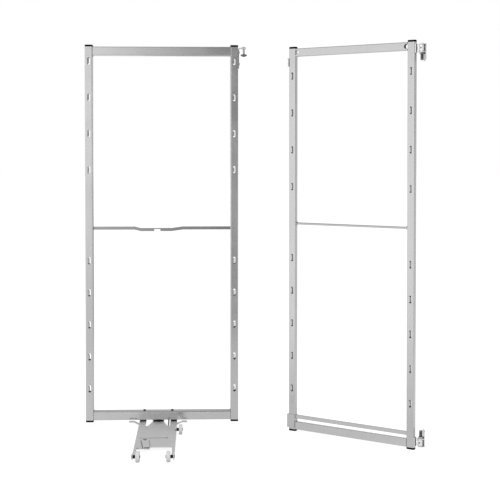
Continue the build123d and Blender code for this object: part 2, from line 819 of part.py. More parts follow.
with BuildPart() as carriage_nuts:
    with BuildSketch(deck_plane(deck_under - carriage_nut_height)):
        with Locations(bolt_grid):
            with GridLocations(2 * bolt_half_spacing, 0, 2, 1):
                RegularPolygon(carriage_nut_flats / 2, 6, major_radius=False)
                Circle(bolt_diameter / 2 + face_gap, mode=Mode.SUBTRACT)
    extrude(amount=carriage_nut_height)
keep(carriage_nuts, "carriage_nuts")


# Rollers, axles and the dark collars that keep the rollers off the arms
def roller(label, across, reach, width):
    with BuildPart() as wheel:
        with BuildSketch(flange_side(across - width / 2)):
            with Locations((-reach, axle_level)):
                Circle(roller_diameter / 2)
                Circle(axle_diameter / 2 + running_gap, mode=Mode.SUBTRACT)
        extrude(amount=width)
        chamfer(wheel.edges().filter_by(GeomType.CIRCLE).sort_by(SortBy.LENGTH)[-2:], roller_edge)
        for face_side in (-1, 1):
            with BuildSketch(flange_side(across + face_side * width / 2)):
                with Locations((-reach, axle_level)):
                    Circle(roller_diameter / 2 - roller_edge - roller_hub_recess)
                    Circle(roller_hub_diameter / 2, mode=Mode.SUBTRACT)
            extrude(amount=-face_side * roller_hub_recess, mode=Mode.SUBTRACT)
    keep(wheel, label)


def axle(label, arm_side, wheel_side, far_side, reach, arm_head=True):
    """An axle with a riveted end past the roller, a head at the arm if there is room, and a collar."""
    way = 1 if far_side > arm_side else -1
    heads = [(far_side, way * axle_head_height)]
    if arm_head:
        heads.append((arm_side, -way * axle_head_height))
    with BuildPart() as pin:
        with BuildSketch(flange_side(arm_side)):
            with Locations((-reach, axle_level)):
                Circle(axle_diameter / 2)
        extrude(amount=far_side - arm_side)
        for start, amount in heads:
            with BuildSketch(flange_side(start)):
                with Locations((-reach, axle_level)):
                    Circle(axle_head_diameter / 2)
            extrude(amount=amount)
    keep(pin, f"{label}_axle")
    with BuildPart() as collar:
        with BuildSketch(flange_side(arm_side + way * carriage_sheet)):
            with Locations((-reach, axle_level)):
                Circle(axle_collar_diameter / 2)
                Circle(axle_diameter / 2 + face_gap, mode=Mode.SUBTRACT)
        extrude(amount=wheel_side - arm_side - way * (carriage_sheet + side_gap))
    keep(collar, f"{label}_axle_collar")


half_roller = roller_width / 2
roller("left_roller", -roller_half_track, roller_reach, roller_width)
roller("right_roller", roller_half_track, roller_reach, roller_width)
roller("side_roller", side_roller_place, side_roller_reach, side_roller_width)
axle("left_roller", -deck_half, -roller_half_track - half_roller,
     -roller_half_track + half_roller + side_gap, roller_reach)
axle("right_roller", deck_half, roller_half_track + half_roller,
     roller_half_track - half_roller - side_gap, roller_reach)
axle("side_roller", deck_half - carriage_sheet, deck_half + side_roller_gap,
     deck_half + side_roller_gap + side_roller_width + side_gap, side_roller_reach, arm_head=False)

# Stay rod: its front end is peened in the deck, it runs back underneath and turns up to the bar
stay_level = deck_under - stay_diameter / 2 - face_gap
stay_rear = inner_tube_depth / 2
stay_head_level = carriage_ground + stay_head_height
with BuildPart() as stay:
    with BuildLine(flange_side(stay_offset)) as stay_path:
        FilletPolyline(
            (-stay_front_reach, stay_head_level),
            (-stay_front_reach, stay_level),
            (stay_rear, stay_level),
            (stay_rear, bar_underside),
            radius=stay_bend,
        )
    with BuildSketch(deck_plane(stay_head_level)):
        with Locations((stay_offset, -stay_front_reach)):
            Circle(stay_diameter / 2)
    sweep(path=stay_path.line)
keep(stay, "carriage_stay_rod")

# Latch lever: a flat hub and finger that turn on a rivet at the front of the deck
lever_level = carriage_ground + side_gap
finger_place = (latch_offset + latch_finger_across, -latch_reach - latch_finger_ahead)
finger_angle = degrees(atan2(-latch_finger_ahead, latch_finger_across))
with BuildPart() as lever:
    with BuildSketch(deck_plane(lever_level)):
        with Locations((latch_offset, -latch_reach)):
            Circle(latch_hub_radius)
        with Locations(finger_place):
            Circle(latch_finger_radius)
        make_hull()
    extrude(amount=latch_thickness)
    with BuildSketch(deck_plane(lever_level + latch_thickness)):
        with Locations(Location(finger_place, finger_angle)):
            SlotOverall(2 * latch_finger_radius - latch_rib_width, latch_rib_width, rotation=90)
    extrude(amount=latch_rib_height)
    with BuildSketch(deck_plane(lever_level)):
        with Locations((latch_offset, -latch_reach)):
            Circle(latch_pin_diameter / 2 + running_gap)
    extrude(amount=latch_thickness + overrun, mode=Mode.SUBTRACT)
keep(lever, "latch_lever")

lever_top = lever_level + latch_thickness
with BuildPart() as latch_pin:
    with BuildSketch(deck_plane(deck_under)):
        with Locations((latch_offset, -latch_reach)):
            Circle(latch_pin_diameter / 2)
    extrude(amount=lever_top + side_gap - deck_under)
    for seat, way in ((lever_top + side_gap, 1), (deck_under, -1)):
        with BuildSketch(deck_plane(seat)):
            with Locations((latch_offset, -latch_reach)):
                Circle(latch_pin_head / 2)
        extrude(amount=way * latch_pin_head_height)
    chamfer(latch_pin.edges().group_by(Axis.Z)[-1], latch_pin_head_height / 3)
keep(latch_pin, "latch_pin")
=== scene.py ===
import json
from math import cos, pi, radians, sin

import bpy
import numpy as np
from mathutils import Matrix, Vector


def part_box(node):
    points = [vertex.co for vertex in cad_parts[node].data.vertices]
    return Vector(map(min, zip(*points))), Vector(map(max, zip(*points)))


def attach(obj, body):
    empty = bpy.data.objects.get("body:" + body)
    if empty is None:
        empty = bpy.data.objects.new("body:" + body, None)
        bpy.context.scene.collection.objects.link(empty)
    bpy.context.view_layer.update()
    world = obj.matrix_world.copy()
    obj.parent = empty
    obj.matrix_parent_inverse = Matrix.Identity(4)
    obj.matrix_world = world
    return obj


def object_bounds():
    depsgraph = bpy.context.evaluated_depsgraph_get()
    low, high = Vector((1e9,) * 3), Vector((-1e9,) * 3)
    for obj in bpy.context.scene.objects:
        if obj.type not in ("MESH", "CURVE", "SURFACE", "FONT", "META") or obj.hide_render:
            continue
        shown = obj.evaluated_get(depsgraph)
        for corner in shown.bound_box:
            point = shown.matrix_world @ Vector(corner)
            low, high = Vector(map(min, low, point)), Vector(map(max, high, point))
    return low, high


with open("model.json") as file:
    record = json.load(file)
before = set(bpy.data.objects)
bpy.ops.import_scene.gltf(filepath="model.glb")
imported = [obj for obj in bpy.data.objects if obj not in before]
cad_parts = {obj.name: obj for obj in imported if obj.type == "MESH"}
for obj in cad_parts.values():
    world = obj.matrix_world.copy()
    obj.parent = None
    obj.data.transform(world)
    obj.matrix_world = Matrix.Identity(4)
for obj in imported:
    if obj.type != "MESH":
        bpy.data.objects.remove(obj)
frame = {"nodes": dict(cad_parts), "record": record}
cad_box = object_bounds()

mm = 0.001

# Photograph's view: metres, degrees and the photograph's pixels
camera_place = (-0.6072, -3.3968, 0.7756)
camera_yaw = 2.281
camera_pitch = -1.516
focal_pixels = 1265.7
image_pixels = 500
shift_pixels = -65.0
sensor_width = 36.0

# Door frame's turn, as in the CAD model
door_turn = radians(38.7)

# Groove in the carriage's deck, as in the CAD model, and the painted shade along it
groove_middle = -738.1 * mm
groove_line = 111.9 * mm
groove_length = 71.0 * mm
groove_shade_half_width = 1.2 * mm
groove_shade_fade = 1.4 * mm
groove_shade_end_fade = 2.0 * mm
groove_shade_strength = 0.85

# Tones of the bare finishes, where 1 is white
lacquer_tone = 0.655
# The thin bar's tone is painted shade, darker than the lacquer it shares.
thin_bar_shaded_tone = 0.43
low_bar_tone = 0.69
zinc_tone = 0.655
carriage_tone = 0.67
pale_zinc_tone = 0.88

# How much each pattern of the lacquer counts, and the scale along a tube that draws a pattern out
line_share = 0.6
band_share = 0.4
peel_share = 0.25
scratch_share = 0.3
drawn_out = 0.02

# Weld beads
bead_radius = 1.5 * mm
bead_ripple = 0.18
bead_pitch = 1.1 * mm
bead_tip = 1e-4
bead_rings = 64
bead_around = 12

# Threads on the bare ends of the pivot studs
thread_pitch = 1.25 * mm
thread_height = 0.35 * mm
thread_tip_gap = 5.0 * mm
thread_end_share = 0.05
thread_steps = 20
thread_around = 6

# Studio as the metal mirrors it, where 1 is white. From left to right each side has three levels of
# brightness: first where its two soft steps begin and end, then the levels
near_floor = ((-1.0, -0.4, -0.3, 0.4), (0.76, 0.68, 0.82))
far_floor = ((-1.6, -0.6, -0.1, 0.8), (0.96, 0.32, 0.71))
camera_side = ((-0.6, -0.2, -0.10, 0.05), (1.0, 1.24, 0.03))
back_side = ((0.03, 0.09, 0.1, 0.5), (0.62, 0.95, 0.57))

# Its other soft steps: where each begins and ends, and the levels before and after it
near_to_far = (0.9, 2.7, 0.0, 1.0)
camera_to_back = (-0.1, 0.5, 0.0, 1.0)
right_lamp = (0.6, 0.9, 0.0, 0.72)
raised = (0.03, 0.10, 1.0, 0.88)
overhead = (0.16, 0.45, 1.0, 0.625)

# Studio as it lights the object and as the camera sees it
floor_reach = 40.0
camera_sight = 160.0
floor_white = 0.8
floor_seen_white = 0.35
floor_seen_glow = 0.84
daylight = 0.6
lamp_target = (-0.48, 0.1, 0.5)


def linked(tree, source, target):
    """Join an output socket to an input socket."""
    tree.links.new(source, target)


def node(tree, kind, **settings):
    """A node of this kind, with its plain properties set."""
    made = tree.nodes.new(kind)
    for name, value in settings.items():
        setattr(made, name, value)
    return made


def arithmetic(tree, operation, first, second, clamp=False):
    """A Math node on two values, each a number or an output socket."""
    made = node(tree, "ShaderNodeMath", operation=operation, use_clamp=clamp)
    for socket, value in zip(made.inputs, (first, second)):
        if isinstance(value, (int, float)):
            socket.default_value = value
        else:
            linked(tree, value, socket)
    return made.outputs["Value"]


def distance_from(tree, value, middle):
    """How far a value lies from a middle, either way."""
    return arithmetic(tree, "ABSOLUTE", arithmetic(tree, "SUBTRACT", value, middle), 0.0)


def varied_by(tree, value, strength):
    """A swing about zero that follows a value of 0 to 1, and the tone about one that goes with it."""
    swing = arithmetic(tree, "MULTIPLY", arithmetic(tree, "SUBTRACT", value, 0.5), strength)
    return swing, arithmetic(tree, "ADD", swing, 1.0)


def remap(tree, value, low, high, new_low, new_high):
    """A Map Range node that turns low..high into new_low..new_high, clamped, with soft ends."""
    made = node(tree, "ShaderNodeMapRange", interpolation_type="SMOOTHSTEP")
    linked(tree, value, made.inputs["Value"])
    made.inputs["From Min"].default_value = low
    made.inputs["From Max"].default_value = high
    made.inputs["To Min"].default_value = new_low
    made.inputs["To Max"].default_value = new_high
    return made.outputs["Result"]


def noise(tree, vector, scale, detail, roughness=0.5, distortion=0.0):
    """A Noise Texture's value on this vector, its scale a number or an output socket."""
    made = node(tree, "ShaderNodeTexNoise")
    linked(tree, vector, made.inputs["Vector"])
    if isinstance(scale, float):
        made.inputs["Scale"].default_value = scale
    else:
        linked(tree, scale, made.inputs["Scale"])
    made.inputs["Detail"].default_value = detail
    made.inputs["Roughness"].default_value = roughness
    made.inputs["Distortion"].default_value = distortion
    return made.outputs["Fac"]


def new_group(name, inputs, outputs):
    """A shader node group that takes a vector: its tree, its input sockets and its output node."""
    tree = bpy.data.node_groups.new(name, "ShaderNodeTree")
    tree.interface.new_socket("Vector", in_out="INPUT", socket_type="NodeSocketVector")
    for label in inputs:
        tree.interface.new_socket(label, in_out="INPUT", socket_type="NodeSocketFloat")
    for label in outputs:
        tree.interface.new_socket(label, in_out="OUTPUT", socket_type="NodeSocketFloat")
    return tree, node(tree, "NodeGroupInput").outputs, node(tree, "NodeGroupOutput")


def drawn_grain():
    """Fine lines along the tube, from noise on a vector that the material has stretched."""
    tree, given, outlet = new_group("drawn_grain", ["Strength"], ["Tone", "Height"])
    lines = noise(tree, given["Vector"], scale=900.0, detail=4.0, roughness=0.6)
    bands = noise(tree, given["Vector"], scale=120.0, detail=2.0)
    both = arithmetic(tree, "ADD", arithmetic(tree, "MULTIPLY", lines, line_share),
                      arithmetic(tree, "MULTIPLY", bands, band_share))
    swing, tone = varied_by(tree, both, given["Strength"])
    linked(tree, tone, outlet.inputs["Tone"])
    linked(tree, swing, outlet.inputs["Height"])
    return tree


def coat_mottle():
    """The soft unevenness of a lacquer or plating: slow clouds of tone over a fine orange peel."""
    tree, given, outlet = new_group("coat_mottle", ["Cloud Size", "Strength"], ["Tone", "Cloud", "Peel"])
    clouds = noise(tree, given["Vector"], arithmetic(tree, "DIVIDE", 1.0, given["Cloud Size"]), detail=3.0)
    cloud = remap(tree, clouds, 0.3, 0.7, 0.0, 1.0)
    linked(tree, varied_by(tree, cloud, given["Strength"])[1], outlet.inputs["Tone"])
    linked(tree, cloud, outlet.inputs["Cloud"])
    linked(tree, noise(tree, given["Vector"], scale=700.0, detail=2.0), outlet.inputs["Peel"])
    return tree


def crevice_shade():
    """Painted shade where surfaces meet closely: one minus the light that reaches the corner, broken up by
    noise.
    """
    tree, given, outlet = new_group("crevice_shade", ["Reach", "Strength"], ["Mask"])
    corner = node(tree, "ShaderNodeAmbientOcclusion", samples=16)
    linked(tree, given["Reach"], corner.inputs["Distance"])
    closed = remap(tree, corner.outputs["AO"], 0.6, 0.97, 1.0, 0.0)
    broken = remap(tree, noise(tree, given["Vector"], scale=160.0, detail=3.0), 0.25, 0.6, 0.75, 1.0)
    patchy = arithmetic(tree, "MULTIPLY", closed, broken)
    linked(tree, arithmetic(tree, "MULTIPLY", patchy, given["Strength"], clamp=True), outlet.inputs["Mask"])
    return tree


def handling_marks():
    """Sparse fine scratches: the thin lines where a bent noise passes its middle, kept in a few patches."""
    tree, given, outlet = new_group("handling_marks", ["Amount"], ["Mask"])
    bent = noise(tree, given["Vector"], scale=38.0, detail=1.0, distortion=1.4)
    thin = remap(tree, distance_from(tree, bent, 0.5), 0.0, 0.006, 1.0, 0.0)
    sparse = remap(tree, noise(tree, given["Vector"], scale=14.0, detail=2.0), 0.54, 0.62, 0.0, 1.0)
    marks = arithmetic(tree, "MULTIPLY", thin, sparse)
    linked(tree, arithmetic(tree, "MULTIPLY", marks, given["Amount"], clamp=True), outlet.inputs["Mask"])
    return tree


def zinc_bloom():
    """The patchwork of a plated sheet: Voronoi cells, each a little lighter or darker."""
    tree, given, outlet = new_group("zinc_bloom", ["Cell Size", "Strength"], ["Tone", "Cell"])
    cells = node(tree, "ShaderNodeTexVoronoi", feature="F1")
    linked(tree, given["Vector"], cells.inputs["Vector"])
    linked(tree, arithmetic(tree, "DIVIDE", 1.0, given["Cell Size"]), cells.inputs["Scale"])
    channels = node(tree, "ShaderNodeSeparateColor")
    linked(tree, cells.outputs["Color"], channels.inputs["Color"])
    cell = channels.outputs["Red"]
    linked(tree, varied_by(tree, cell, given["Strength"])[1], outlet.inputs["Tone"])
    linked(tree, cell, outlet.inputs["Cell"])
    return tree


def moulded_grain():
    """The fine pitted skin of a moulded plastic part."""
    tree, given, outlet = new_group("moulded_grain", ["Strength"], ["Tone", "Height"])
    pits = noise(tree, given["Vector"], scale=1500.0, detail=2.0, roughness=0.7)
    flow = noise(tree, given["Vector"], scale=60.0, detail=2.0)
    linked(tree, varied_by(tree, flow, given["Strength"])[1], outlet.inputs["Tone"])
    linked(tree, pits, outlet.inputs["Height"])
    return tree


groups = {make.__name__: make() for make in
          (drawn_grain, coat_mottle, crevice_shade, handling_marks, zinc_bloom, moulded_grain)}


def placed(tree, group, vector, **values):
    """A shared effect placed in a material, with its own values: its output sockets."""
    made = node(tree, "ShaderNodeGroup", node_tree=groups[group])
    for name, value in values.items():
        made.inputs[name.replace("_", " ")].default_value = value
    linked(tree, vector, made.inputs["Vector"])
    return made.outputs


def new_material(name):
    """An empty material: its tree, its Principled shader and the piece's own coordinates."""
    material = bpy.data.materials.new(name)
    material.use_nodes = True
    tree = material.node_tree
    tree.nodes.clear()
    shader = node(tree, "ShaderNodeBsdfPrincipled")
    linked(tree, shader.outputs["BSDF"], node(tree, "ShaderNodeOutputMaterial").inputs["Surface"])
    return material, tree, shader, node(tree, "ShaderNodeTexCoord").outputs["Object"]


def stretched(tree, vector, turn, squeeze):
    """Coordinates turned about Z and drawn out along one axis, so that a pattern runs as long lines."""
    made = node(tree, "ShaderNodeMapping")
    linked(tree, vector, made.inputs["Vector"])
    made.inputs["Rotation"].default_value = (0.0, 0.0, turn)
    made.inputs["Scale"].default_value = squeeze
    return made.outputs["Vector"]


def tinted(tree, shader, tones, colour, shade_and_wear_colour, mask):
    """Base colour: the finish's colour times its tones, then a second colour where the mask says: painted
    shade in creases, and on dark zinc the wear of its scratches.
    """
    tone = tones[0]
    for other in tones[1:]:
        tone = arithmetic(tree, "MULTIPLY", tone, other)
    neutral = node(tree, "ShaderNodeCombineColor")
    for channel in ("Red", "Green", "Blue"):
        linked(tree, tone, neutral.inputs[channel])
    varied = node(tree, "ShaderNodeMix", data_type="RGBA", blend_type="MULTIPLY")
    varied.inputs["Factor"].default_value = 1.0
    varied.inputs["A"].default_value = (*colour, 1.0)
    linked(tree, neutral.outputs["Color"], varied.inputs["B"])
    shade_and_wear = node(tree, "ShaderNodeMix", data_type="RGBA")
    linked(tree, mask, shade_and_wear.inputs["Factor"])
    linked(tree, varied.outputs["Result"], shade_and_wear.inputs["A"])
    shade_and_wear.inputs["B"].default_value = (*shade_and_wear_colour, 1.0)
    linked(tree, shade_and_wear.outputs["Result"], shader.inputs["Base Color"])


def scratched_roughness(tree, shader, value, marks, low, high, added, from_low=0.0, from_high=1.0):
    """Roughness that follows a value from low to high, and rises where the handling marks are."""
    plain = remap(tree, value, from_low, from_high, low, high)
    linked(tree, arithmetic(tree, "ADD", plain, arithmetic(tree, "MULTIPLY", marks, added)),
           shader.inputs["Roughness"])


def relief(tree, shader, height, depth):
    """A bump on the shader's normal, its depth in metres."""
    bump = node(tree, "ShaderNodeBump")
    bump.inputs["Distance"].default_value = depth
    linked(tree, height, bump.inputs["Height"])
    linked(tree, bump.outputs["Normal"], shader.inputs["Normal"])


def grey(tone):
    """A neutral colour of this tone."""
    return (tone, tone, tone)


def frame_lacquer(name, turn, squeeze, tone=lacquer_tone):
    """Satin silver lacquer on drawn steel tube, its lines running along the tube."""
    material, tree, shader, place = new_material(name)
    grain = placed(tree, "drawn_grain", stretched(tree, place, turn, squeeze), Strength=0.16)
    mottle = placed(tree, "coat_mottle", place, Cloud_Size=0.09, Strength=0.03)
    corner = placed(tree, "crevice_shade", place, Reach=0.003, Strength=0.4)
    marks = placed(tree, "handling_marks", place, Amount=0.3)
    # Painted shade: corners, joints and slot insides darken to this grey where the crevice mask says.
    tinted(tree, shader, [grain["Tone"], mottle["Tone"]], colour=grey(tone), shade_and_wear_colour=grey(0.26),
           mask=corner["Mask"])
    shader.inputs["Metallic"].default_value = 0.92
    scratched_roughness(tree, shader, mottle["Cloud"], marks["Mask"], low=0.17, high=0.22, added=0.12)
    peel = arithmetic(tree, "MULTIPLY", mottle["Peel"], peel_share)
    lines = arithmetic(tree, "ADD", grain["Height"], peel)
    scratches = arithmetic(tree, "MULTIPLY", marks["Mask"], scratch_share)
    relief(tree, shader, arithmetic(tree, "SUBTRACT", lines, scratches), depth=0.0008 * mm)
    return material


def groove_painted_shade(tree, place):
    """Painted shade along the groove pressed in the deck: strong near its line, fading to zero beside it.
    """
    spot = node(tree, "ShaderNodeSeparateXYZ")
    linked(tree, place, spot.inputs["Vector"])
    aside = distance_from(tree, spot.outputs["Y"], groove_line)
    along = distance_from(tree, spot.outputs["X"], groove_middle)
    near = remap(tree, aside, groove_shade_half_width, groove_shade_half_width + groove_shade_fade, groove_shade_strength, 0.0)
    within = remap(tree, along, groove_length / 2, groove_length / 2 + groove_shade_end_fade, 1.0, 0.0)
    return arithmetic(tree, "MULTIPLY", near, within)


def zinc_plate(name, tone=zinc_tone, metal=0.95, groove_shaded=False):
    """Zinc plated pressed steel of the carriage and the fittings."""
    material, tree, shader, place = new_material(name)
    bloom = placed(tree, "zinc_bloom", place, Cell_Size=0.004, Strength=0.02)
    mottle = placed(tree, "coat_mottle", place, Cloud_Size=0.03, Strength=0.04)
    corner = placed(tree, "crevice_shade", place, Reach=0.004, Strength=1.0)
    marks = placed(tree, "handling_marks", place, Amount=0.2)
    # Painted shade: corners darken where the crevice mask says, and with the groove shade on, the deck's
    # groove darkens too.
    shade_and_wear = corner["Mask"]
    if groove_shaded:
        shade_and_wear = arithmetic(tree, "MAXIMUM", shade_and_wear, groove_painted_shade(tree, place))
    tinted(tree, shader, [bloom["Tone"], mottle["Tone"]], colour=grey(tone), shade_and_wear_colour=grey(0.05), mask=shade_and_wear)
    shader.inputs["Metallic"].default_value = metal
    scratched_roughness(tree, shader, bloom["Cell"], marks["Mask"], low=0.28, high=0.31, added=0.15)
    relief(tree, shader, arithmetic(tree, "SUBTRACT", mottle["Peel"], marks["Mask"]), depth=0.0015 * mm)
    return material


def dark_zinc():
    """Dark zinc on the studs, bolts and rod, bright where it is scratched."""
    material, tree, shader, place = new_material("dark_zinc")
    bloom = placed(tree, "zinc_bloom", place, Cell_Size=0.0025, Strength=0.25)
    mottle = placed(tree, "coat_mottle", place, Cloud_Size=0.008, Strength=0.30)
    marks = placed(tree, "handling_marks", place, Amount=1.0)
    tinted(tree, shader, [bloom["Tone"], mottle["Tone"]], colour=(0.14, 0.14, 0.145), shade_and_wear_colour=grey(0.30),
           mask=marks["Mask"])
    shader.inputs["Metallic"].default_value = 0.9
    linked(tree, remap(tree, mottle["Cloud"], 0.0, 1.0, 0.30, 0.42), shader.inputs["Roughness"])
    relief(tree, shader, mottle["Peel"], depth=0.01 * mm)
    return material


def moulded_plastic(name, colour, shade_and_wear_colour, dull, glossy, mottle=0.15, shine=0.5):
    """Moulded plastic of the caps, spacers, bushes and rollers, with roughness from glossy to dull."""
    material, tree, shader, place = new_material(name)
    skin = placed(tree, "moulded_grain", place, Strength=mottle)
    corner = placed(tree, "crevice_shade", place, Reach=0.004, Strength=0.5)
    marks = placed(tree, "handling_marks", place, Amount=0.8)
    # Painted shade: creases darken to the given colour where the crevice mask says.
    tinted(tree, shader, [skin["Tone"]], colour, shade_and_wear_colour, mask=corner["Mask"])
    scratched_roughness(tree, shader, skin["Height"], marks["Mask"], low=glossy, high=dull, added=0.1,
                        from_low=0.3, from_high=0.7)
    shader.inputs["Specular IOR Level"].default_value = shine
    relief(tree, shader, skin["Height"], depth=0.02 * mm)
    return material


along_z = (1.0, 1.0, drawn_out)
along_x = (drawn_out, 1.0, 1.0)
lacquers = {
    "upright": frame_lacquer("upright_lacquer", turn=0.0, squeeze=along_z),
    "inner": frame_lacquer("inner_bar_lacquer", turn=0.0, squeeze=along_x),
    "door": frame_lacquer("door_bar_lacquer", turn=door_turn, squeeze=along_x),
}
finishes = {
    "bright_steel": zinc_plate("zinc_plate"),
    "dark_steel": dark_zinc(),
    "black_caps": moulded_plastic("cap_black", colour=grey(0.002), shade_and_wear_colour=grey(0.01), dull=0.6, glossy=0.5,
                                  shine=0.06),
    "black_plastic": moulded_plastic("spacer_black", colour=grey(0.012), shade_and_wear_colour=grey(0.03), dull=0.6,
                                     glossy=0.5, shine=0.2),
    "white_nylon": moulded_plastic("roller_white", colour=(0.58, 0.58, 0.575), shade_and_wear_colour=(0.35, 0.34, 0.33),
                                   dull=0.4, glossy=0.3, mottle=0.04),
    "grey_nylon": moulded_plastic("guide_roller_grey", colour=grey(0.10), shade_and_wear_colour=grey(0.05), dull=0.45,
                                  glossy=0.35),
    "bush_plastic": moulded_plastic("bush_pale", colour=(0.55, 0.55, 0.53), shade_and_wear_colour=grey(0.2), dull=0.5,
                                    glossy=0.4, mottle=0.06),
}

# Pieces that are a little lighter or darker than the rest of their kind
own_finishes = {
    # The thin middle bar's darker copy of the inner lacquer is painted shade.
    "inner_middle_bar": frame_lacquer("thin_bar_shaded_lacquer", turn=0.0, squeeze=along_x, tone=thin_bar_shaded_tone),
    **dict.fromkeys(("door_bottom_bar", "door_low_rail"),
                    frame_lacquer("low_bar_lacquer", turn=door_turn, squeeze=along_x, tone=low_bar_tone)),
    **dict.fromkeys(("carriage_plate", "latch_lever"),
                    zinc_plate("carriage_zinc", carriage_tone, metal=0.5, groove_shaded=True)),
    **dict.fromkeys(("lower_pivot_arm", "upper_pivot_arm", "lower_bearing_bracket", "upper_bearing_bracket",
                     "guide_bracket", "guide_rivets", "door_link_plate"),
                    zinc_plate("pale_zinc", pale_zinc_tone, metal=0.6)),
}


def finish_for(name, slot):
    """The material of a CAD node: its own, or by its slot, and on the frames by the way its tube runs."""
    if name in own_finishes:
        return own_finishes[name]
    if slot != "silver_frame":
        return finishes[slot]
    if "upright" in name:
        return lacquers["upright"]
    return lacquers[name.split("_")[0]]


for part in frame["record"]["subparts"]:
    cad = frame["nodes"][part["node"]]
    cad.data.materials.clear()
    cad.data.materials.append(finish_for(part["node"], part["material_slot"]))


def skinned(name, grids, body, material):
    """One mesh from grids of points (rings, around, xyz): rings wrap, and each end closes to its middle."""
    points, faces, start = [], [], 0
    for grid in grids:
        rings, around = grid.shape[:2]
        ends = np.stack([grid[0].mean(0), grid[-1].mean(0)])
        points.append(np.concatenate([grid.reshape(-1, 3), ends]))
        ring, spoke = np.meshgrid(np.arange(rings - 1), np.arange(around), indexing="ij")
        here = start + ring * around + spoke
        beside = start + ring * around + (spoke + 1) % around
        walls = np.stack([here, beside, beside + around, here + around], -1)
        turn = np.arange(around)
        following = (turn + 1) % around
        first_middle = np.full(around, start + rings * around)
        rim = start + (rings - 1) * around
        first_fan = np.stack([first_middle, start + following, start + turn], -1)
        last_fan = np.stack([first_middle + 1, rim + turn, rim + following], -1)
        faces += walls.reshape(-1, 4).tolist() + first_fan.tolist() + last_fan.tolist()
        start += rings * around + 2
    mesh = bpy.data.meshes.new(name)
    mesh.from_pydata(np.concatenate(points).tolist(), [], faces)
    mesh.shade_smooth()
    mesh.materials.append(material)
    made = bpy.data.objects.new(name, mesh)
    bpy.context.scene.collection.objects.link(made)
    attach(made, body)


def weld_bead(start, end):
    """A round bead from start to end whose radius swells once a ripple and closes smoothly at both ends."""
    start, end = np.array(start), np.array(end)
    length = np.linalg.norm(end - start)
    along = (end - start) / length
    side = np.cross(along, (0.0, 0.0, 1.0))
    side = side / np.linalg.norm(side)
    upward = np.cross(along, side)
    t = np.linspace(0.0, 1.0, bead_rings)
    swell = 1.0 + bead_ripple * np.abs(np.sin(pi * t * length / bead_pitch))
    fade = np.clip(np.minimum(t, 1.0 - t) * length / bead_radius, 0.0, 1.0)
    radius = bead_radius * swell * np.sqrt(1.0 - (1.0 - fade) ** 2 + bead_tip)
    angle = np.linspace(0.0, 2 * pi, bead_around, endpoint=False)
    ring = np.cos(angle)[:, None] * side + np.sin(angle)[:, None] * upward
    return start + t[:, None, None] * (end - start) + radius[:, None, None] * ring


def inner_bead(bar, end, edge):
    """A bead across the depth of an inner bar, where its window side meets an upright."""
    low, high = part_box(bar)
    inset = 2 * bead_radius
    return weld_bead((end(low.x, high.x), low.y + inset, edge(low.z, high.z)),
                     (end(low.x, high.x), high.y - inset, edge(low.z, high.z)))


def door_bead(bar, end, edge):
    """A bead across the depth of a door bar, whose length and depth follow from its box and its turn."""
    low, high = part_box(bar)
    wide, deep = high.x - low.x, high.y - low.y
    length = (wide * cos(door_turn) - deep * sin(door_turn)) / cos(2 * door_turn)
    depth = (deep * cos(door_turn) - wide * sin(door_turn)) / cos(2 * door_turn)
    across = np.array((cos(door_turn), -sin(door_turn), 0.0))
    back = np.array((sin(door_turn), cos(door_turn), 0.0))
    middle = np.array(((low.x + high.x) / 2, (low.y + high.y) / 2, edge(low.z, high.z)))
    corner = middle + end(-1, 1) * length / 2 * across
    reach = depth / 2 - bead_radius
    return weld_bead(corner - reach * back, corner + reach * back)


for body, bead in (("inner", inner_bead), ("door", door_bead)):
    beads = [bead(body + bar, end, edge)
             for bar, edge in (("_top_bar", min), ("_bottom_bar", max))
             for end in (min, max)]
    skinned(body + "_weld_beads", beads, body + "_frame", lacquers[body])


def thread(stud, start, end):
    """A thin ridge on a helix round the stud: x = r cos u, y = r sin u, z evenly from start to end."""
    low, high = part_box(stud)
    radius = (high.x - low.x) / 2
    turns = abs(end - start) / thread_pitch
    u = np.linspace(0.0, 2 * pi * turns, int(turns * thread_steps) + 1)
    outward = np.stack([np.cos(u), np.sin(u), np.zeros_like(u)], -1)
    line = np.array(((low.x + high.x) / 2, (low.y + high.y) / 2, 0.0)) + radius * outward
    line[:, 2] = np.linspace(start, end, len(u))
    fade = np.clip(np.minimum(u, u[-1] - u) / pi, thread_end_share, 1.0)
    angle = np.linspace(0.0, -2 * pi, thread_around, endpoint=False)
    ridge = (np.cos(angle)[:, None] * outward[:, None, :]
             + np.sin(angle)[:, None] * np.array((0.0, 0.0, 1.0)))
    return line[:, None, :] + thread_height * fade[:, None, None] * ridge


threads = [thread("lower_pivot_stud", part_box("lower_lock_nut")[1].z,
                  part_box("lower_pivot_stud")[1].z - thread_tip_gap),
           thread("upper_pivot_stud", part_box("upper_lock_nut")[0].z,
                  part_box("upper_pivot_stud")[0].z + thread_tip_gap)]
skinned("stud_threads", threads, "cabinet_bearings", finishes["dark_steel"])


def three_levels(tree, value, steps, levels):
    """Three levels along a value with a soft step between each two, the middle one lowest or highest."""
    first, middle, last = levels
    keep = "MAXIMUM" if middle < first else "MINIMUM"
    return arithmetic(tree, keep, remap(tree, value, *steps[:2], first, middle),
                      remap(tree, value, *steps[2:], middle, last))


def shown_to_rays(tree, plain, mirrored, direct):
    """One shader lights the object, one shows in its metal, one meets the camera and clear pieces' rays."""
    path = node(tree, "ShaderNodeLightPath")
    straight = arithmetic(tree, "MAXIMUM", path.outputs["Is Camera Ray"],
                          path.outputs["Is Transmission Ray"])
    shown = plain
    for share, shader in ((path.outputs["Is Glossy Ray"], mirrored), (straight, direct)):
        mix = node(tree, "ShaderNodeMixShader")
        linked(tree, share, mix.inputs["Fac"])
        linked(tree, shown, mix.inputs[1])
        linked(tree, shader, mix.inputs[2])
        shown = mix.outputs["Shader"]
    return shown


